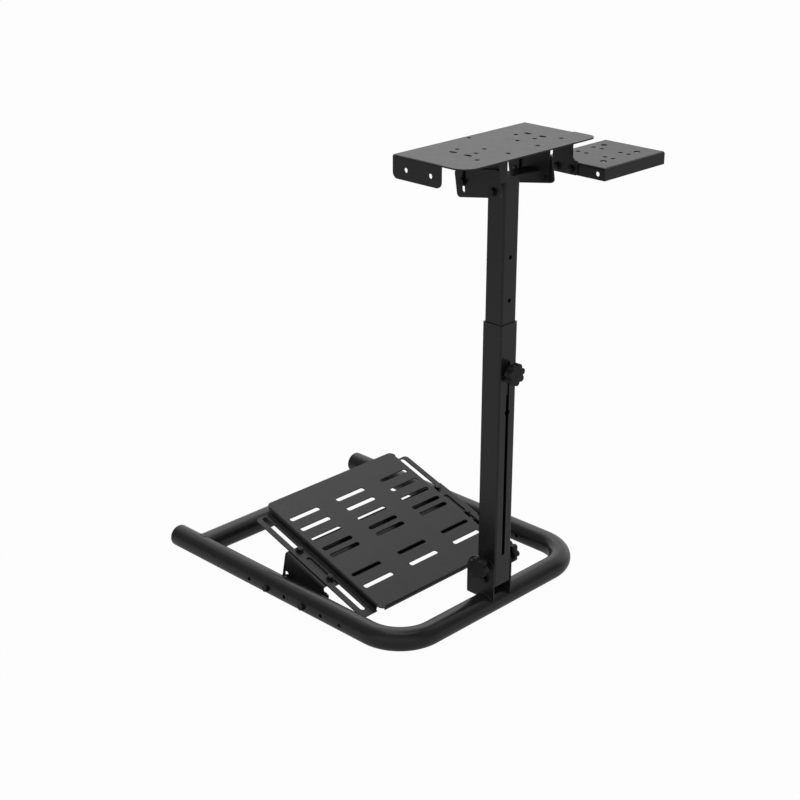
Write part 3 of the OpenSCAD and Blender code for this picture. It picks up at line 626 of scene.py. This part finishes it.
class STAND_OT_finishes(bpy.types.Operator):
    """Make the coats and give them to the frame's own nodes"""

    bl_idname = "stand.finishes"
    bl_label = "Coats"

    def execute(self, context):
        s = context.scene.stand_finishes
        coat_grain_group()
        dust_group()
        scuff_group()
        steel = tuple(s.steel)
        plate = coated_steel("plate coat", steel, s.steel_rough, pebble=620.0, bump=0.35)
        tube = coated_steel("tube coat", steel, s.tube_rough, pebble=520.0, bump=0.22)
        plastic = moulded_plastic("moulded plastic", tuple(s.plastic), s.plastic_rough)
        oxide = black_oxide("black oxide", tuple(s.hardware), s.hardware_rough)
        for names, material in (
            (PLATE_NODES, plate),
            (TUBE_NODES, tube),
            (PLASTIC_NODES, plastic),
            (HARDWARE_NODES, oxide),
        ):
            for name in names:
                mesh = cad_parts[name].data
                mesh.materials.clear()
                mesh.materials.append(material)
        return {"FINISHED"}


class STAND_OT_knob_edges(bpy.types.Operator):
    """Round the moulded edges of the knobs"""

    bl_idname = "stand.knob_edges"
    bl_label = "Knob edges"

    def execute(self, context):
        for name in KNOB_NODES:
            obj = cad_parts[name]
            obj.modifiers.new("join", "WELD").merge_threshold = JOIN_DISTANCE
            flat = obj.modifiers.new("flat faces", "DECIMATE")
            flat.decimate_type, flat.angle_limit = "DISSOLVE", KNOB_FLAT
            edge = obj.modifiers.new("broken edges", "BEVEL")
            edge.width, edge.segments = KNOB_EDGE, KNOB_EDGE_STEPS
            edge.limit_method, edge.angle_limit = "ANGLE", KNOB_SHARP
        return {"FINISHED"}


class STAND_OT_far_bracket(bpy.types.Operator):
    """Far tilt bracket without the front flange, which the photographed one hasn't got"""

    bl_idname = "stand.far_bracket"
    bl_label = "Far tilt bracket"

    def execute(self, context):
        wall = self.part(at(0, WALL_Y, 0), (0, -1, 0))
        shelf = self.part(at(0, SHELF_Y, 0), (0, 1, 0))
        for vert in shelf.verts:
            if abs(vert.co.y - at(0, SHELF_Y, 0)[1]) < 1e-5:
                vert.co.y = at(0, WALL_Y, 0)[1]
        self.cut(shelf, at(FLANGE_X, 0, 0), (1, 0, 0))
        mesh = bpy.data.meshes.new("far_bracket_plate")
        wall.to_mesh(mesh)
        shelf.from_mesh(mesh)
        shelf.to_mesh(mesh)
        wall.free()
        shelf.free()
        mesh.materials.append(material_of("plate coat"))
        obj = bpy.data.objects.new("far_bracket_plate", mesh)
        context.scene.collection.objects.link(obj)
        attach(obj, "head")
        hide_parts("tilt_bracket_far")
        return {"FINISHED"}

    def part(self, place, away):
        """Copy of the frame's bracket on the near side of a plane."""
        work = bmesh.new()
        work.from_mesh(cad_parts["tilt_bracket_far"].data)
        bmesh.ops.remove_doubles(work, verts=work.verts, dist=JOIN_DISTANCE)
        self.cut(work, place, away)
        return work

    def cut(self, work, place, away):
        """Takes off what lies beyond a plane and closes the cut."""
        whole = work.verts[:] + work.edges[:] + work.faces[:]
        made = bmesh.ops.bisect_plane(
            work, geom=whole, plane_co=place, plane_no=away, clear_outer=True
        )
        rim = [e for e in made["geom_cut"] if isinstance(e, bmesh.types.BMEdge)]
        bmesh.ops.triangle_fill(work, use_beauty=True, use_dissolve=False, edges=rim)
        bmesh.ops.recalc_face_normals(work, faces=work.faces)


class STAND_OT_pedal_bolts(bpy.types.Operator):
    """Bolts that clamp the deck strips on the pedal bridge"""

    bl_idname = "stand.pedal_bolts"
    bl_label = "Pedal bolts"

    def execute(self, context):
        s = context.scene.stand_bolts
        sizes = (s.pedal_across, s.pedal_washer, s.head_share)
        shell = Shell()
        for y in (-PEDAL_BOLT_Y, PEDAL_BOLT_Y):
            for u, turn in PEDAL_BOLTS:
                head, nut = on_deck(u, y, PEDAL_HEAD_H), on_deck(u, y, PEDAL_NUT_H)
                bolt_set(shell, head, nut, DECK_N, *sizes, turn)
        shell.build("pedal_bolt_set", "base", material_of("black oxide"))
        return {"FINISHED"}


class STAND_OT_arm_bolts(bpy.types.Operator):
    """Bolts that join the shifter arm to the wheel plate and to the tray"""

    bl_idname = "stand.arm_bolts"
    bl_label = "Arm bolts"

    def execute(self, context):
        s = context.scene.stand_bolts
        sizes = (s.arm_across, s.arm_washer, s.head_share)
        shell = Shell()
        for x, z, head_y, nut_y, turn in ARM_BOLTS:
            bolt_set(shell, at(x, head_y, z), at(x, nut_y, z), (0, -1, 0), *sizes, turn)
        shell.build("arm_bolt_set", "head", material_of("black oxide"))
        return {"FINISHED"}


class STAND_OT_welds(bpy.types.Operator):
    """Weld beads where tube meets tube and plate meets tube"""

    bl_idname = "stand.welds"
    bl_label = "Weld beads"

    def execute(self, context):
        radius = context.scene.stand_welds.bead
        base = Shell()
        self.cross_bar_beads(base, radius)
        self.foot_beads(base, radius)
        base.build("base_weld_beads", "base", material_of("tube coat"))
        mast = Shell()
        self.head_beads(mast, radius * MAST_BEAD_SHARE)
        mast.build("mast_weld_beads", "mast", material_of("plate coat"))
        return {"FINISHED"}

    def cross_bar_beads(self, shell, radius):
        """The line where bar and rail cross, without the stretches at the top and near the floor.

        The angle runs round the bar, and the depth is the root of the radius squared less the height squared.
        """
        low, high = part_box("cross_bar")
        bar_x = (low.x + high.x) / 2
        t = np.linspace(0, 2 * math.pi, 180, endpoint=False)
        keep = (np.abs(np.sin(t)) < BAR_TOP) & (np.sin(t) > BAR_BOTTOM)
        for side in (-1, 1):
            z = TUBE_R * np.sin(t)
            y = side * (RAIL_Y - np.sqrt(np.maximum(TUBE_R**2 - z**2, 0)))
            path = np.stack([bar_x + TUBE_R * np.cos(t), ORIGIN[1] + y, TUBE_R + z], -1)
            out = np.stack([np.cos(t), np.full_like(t, -BAR_LEAN * side), np.sin(t)], -1)
            for half in (np.cos(t) > 0, np.cos(t) < 0):
                order = np.flatnonzero(keep & half)
                if np.any(np.diff(order) > 1):
                    cut = int(np.argmax(np.diff(order) > 1)) + 1
                    order = np.concatenate([order[cut:], order[:cut]])
                bead(shell, path[order], out[order], radius)

    def foot_beads(self, shell, radius):
        """An arc over the cross rail along the outer face of each foot plate."""
        low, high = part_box("post_foot")
        a = np.linspace(*FOOT_ARC, 60)
        x, z = ORIGIN[0] + TUBE_R * np.cos(a), TUBE_R + TUBE_R * np.sin(a)
        for y, side in ((low.y, -1), (high.y, 1)):
            path = np.stack([x, np.full_like(a, y), z], -1)
            out = np.stack([np.cos(a), np.full_like(a, side), np.sin(a)], -1)
            bead(shell, path, out, radius)

    def head_beads(self, shell, radius):
        """Straight runs where the web meets the two ears and the sides of the upper post."""
        web_lo, web_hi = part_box("head_web")
        ears_lo, ears_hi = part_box("head_ears")
        x = np.linspace(web_lo.x + WEB_END, web_hi.x - WEB_END, 26)
        for y, side in ((ears_lo.y + EAR_THICK, 1), (ears_hi.y - EAR_THICK, -1)):
            for z, up in ((web_hi.z, 1), (web_lo.z, -1)):
                self.straight(shell, x, y, z, side, up, radius)
        post_lo, post_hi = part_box("upper_post")
        x = np.linspace(post_lo.x + POST_END, post_hi.x - POST_END, 24)
        x = x[x > web_lo.x]
        for y, side in ((post_lo.y, -1), (post_hi.y, 1)):
            self.straight(shell, x, y, web_lo.z, side, -1, radius)

    def straight(self, shell, x, y, z, side, up, radius):
        """Bead along x in the corner that opens toward side and up."""
        path = np.stack([x, np.full_like(x, y), np.full_like(x, z)], -1)
        bead(shell, path, np.tile([0.0, side, up], (len(x), 1)), radius)


class STAND_OT_studio(bpy.types.Operator):
    """Pale floor, soft lamps, white surround and the camera at the photographed angle"""

    bl_idname = "stand.studio"
    bl_label = "Studio"

    def execute(self, context):
        s = context.scene.stand_studio
        scene = context.scene
        self.floor(s)
        self.world(scene, s)
        self.lamp("back lamp", BACK_LAMP, s.back)
        self.lamp("overhead lamp", OVERHEAD_LAMP, s.overhead)
        camera = bpy.data.cameras.new("camera")
        camera.lens, camera.sensor_width = s.lens, SENSOR
        camera.clip_start, camera.clip_end = CLIP
        eye = bpy.data.objects.new("camera", camera)
        scene.collection.objects.link(eye)
        eye.location = at(*EYE)
        eye.rotation_euler = Euler([math.radians(a) for a in (90 - EYE_DOWN, EYE_ROLL, EYE_TURN)])
        scene.camera = eye
        scene.view_settings.view_transform = "Standard"
        return {"FINISHED"}

    def floor(self, s):
        """A wide square under the stand. The camera sees it nearly white, with a faint shadow."""
        mesh = bpy.data.meshes.new("floor")
        side = np.array([-FLOOR_REACH, FLOOR_REACH])
        x, y = np.meshgrid(side, side)
        points = np.stack([x, y, np.full_like(x, -FLOOR_DROP)], -1).reshape(-1, 3)
        mesh.from_pydata(points.tolist(), [], [(0, 1, 3, 2)])
        obj = bpy.data.objects.new("floor", mesh)
        bpy.context.scene.collection.objects.link(obj)
        material = bpy.data.materials.new("floor")
        material.use_nodes = True
        tree = material.node_tree
        tree.nodes.clear()
        out = tree.nodes.new("ShaderNodeOutputMaterial")
        plain = node(tree, "ShaderNodeBsdfDiffuse", Color=(*s.floor, 1))
        glow = node(tree, "ShaderNodeEmission", Strength=1.0, Color=WHITE)
        path = tree.nodes.new("ShaderNodeLightPath").outputs
        seen = maths(tree, "MAXIMUM", path["Is Camera Ray"], path["Is Transmission Ray"])
        seen = maths(tree, "MULTIPLY", seen, FLOOR_CAMERA_SHARE)
        gloss = maths(tree, "MULTIPLY", path["Is Glossy Ray"], FLOOR_GLOSS_SHARE)
        share = maths(tree, "MAXIMUM", seen, gloss)
        parts = {0: share, 1: plain.outputs[0], 2: glow.outputs[0]}
        mixer = node(tree, "ShaderNodeMixShader", parts)
        tree.links.new(mixer.outputs[0], out.inputs["Surface"])
        mesh.materials.append(material)

    def world(self, scene, s):
        """Plain white for the camera and even light for the surfaces.

        Gloss sees a white backdrop behind the stand, dim room at its sides and a glow at the user's side.
        """
        world = bpy.data.worlds.new("surround")
        scene.world = world
        world.use_nodes = True
        tree = world.node_tree
        tree.nodes.clear()
        out = tree.nodes.new("ShaderNodeOutputWorld")
        light = node(tree, "ShaderNodeBackground", Color=WHITE)
        way = tree.nodes.new("ShaderNodeVectorMath")
        way.operation = "DOT_PRODUCT"
        way.inputs[1].default_value = Vector(BACKDROP_WAY).normalized()
        tree.links.new(tree.nodes.new("ShaderNodeTexCoord").outputs["Generated"], way.inputs[0])
        toward = way.outputs["Value"]
        backdrop = map_range(tree, toward, BACKDROP_SPAN, (s.room, 1.0), smooth=True)
        front = map_range(tree, toward, FRONT_SPAN, (0.0, s.front), smooth=True)
        path = tree.nodes.new("ShaderNodeLightPath").outputs
        glossy = path["Is Glossy Ray"]
        seen = maths(tree, "MAXIMUM", path["Is Camera Ray"], path["Is Transmission Ray"])
        gloss = maths(tree, "MULTIPLY", glossy, maths(tree, "ADD", backdrop, front))
        even = maths(tree, "MULTIPLY", maths(tree, "SUBTRACT", 1.0, glossy), s.sky)
        strength = maths(tree, "MAXIMUM", maths(tree, "MAXIMUM", seen, gloss), even)
        tree.links.new(strength, light.inputs["Strength"])
        tree.links.new(light.outputs[0], out.inputs["Surface"])

    def lamp(self, name, setting, power):
        """Square soft lamp at a place, turned to its target."""
        place, target, size = setting
        light = bpy.data.lights.new(name, "AREA")
        light.shape, light.size, light.energy = "SQUARE", size, power
        obj = bpy.data.objects.new(name, light)
        bpy.context.scene.collection.objects.link(obj)
        obj.location = place
        obj.rotation_euler = (Vector(target) - Vector(place)).to_track_quat("-Z", "Y").to_euler()


OPERATORS = (
    STAND_OT_finishes,
    STAND_OT_knob_edges,
    STAND_OT_far_bracket,
    STAND_OT_pedal_bolts,
    STAND_OT_arm_bolts,
    STAND_OT_welds,
    STAND_OT_studio,
)
GROUPS = {
    "stand_finishes": StandFinishes,
    "stand_bolts": StandBolts,
    "stand_welds": StandWelds,
    "stand_studio": StandStudio,
}


class STAND_PT_panel(bpy.types.Panel):
    """Lists the pieces and their settings"""

    bl_label = "Wheel stand"
    bl_idname = "STAND_PT_panel"
    bl_space_type = "VIEW_3D"
    bl_region_type = "UI"
    bl_category = "Wheel stand"

    def draw(self, context):
        for operator in OPERATORS:
            self.layout.operator(operator.bl_idname)
        for name, group in GROUPS.items():
            box = self.layout.box()
            box.label(text=group.__doc__)
            for key in group.__annotations__:
                box.prop(getattr(context.scene, name), key)


def register():
    for item in (*GROUPS.values(), *OPERATORS, STAND_PT_panel):
        bpy.utils.register_class(item)
    for name, group in GROUPS.items():
        setattr(bpy.types.Scene, name, bpy.props.PointerProperty(type=group))


def unregister():
    for name in GROUPS:
        delattr(bpy.types.Scene, name)
    for item in (STAND_PT_panel, *reversed(OPERATORS), *GROUPS.values()):
        bpy.utils.unregister_class(item)


def main():
    """Registers the classes and makes every piece in order."""
    register()
    for operator in OPERATORS:
        area, name = operator.bl_idname.split(".")
        getattr(getattr(bpy.ops, area), name)()


if __name__ == "__main__":
    main()
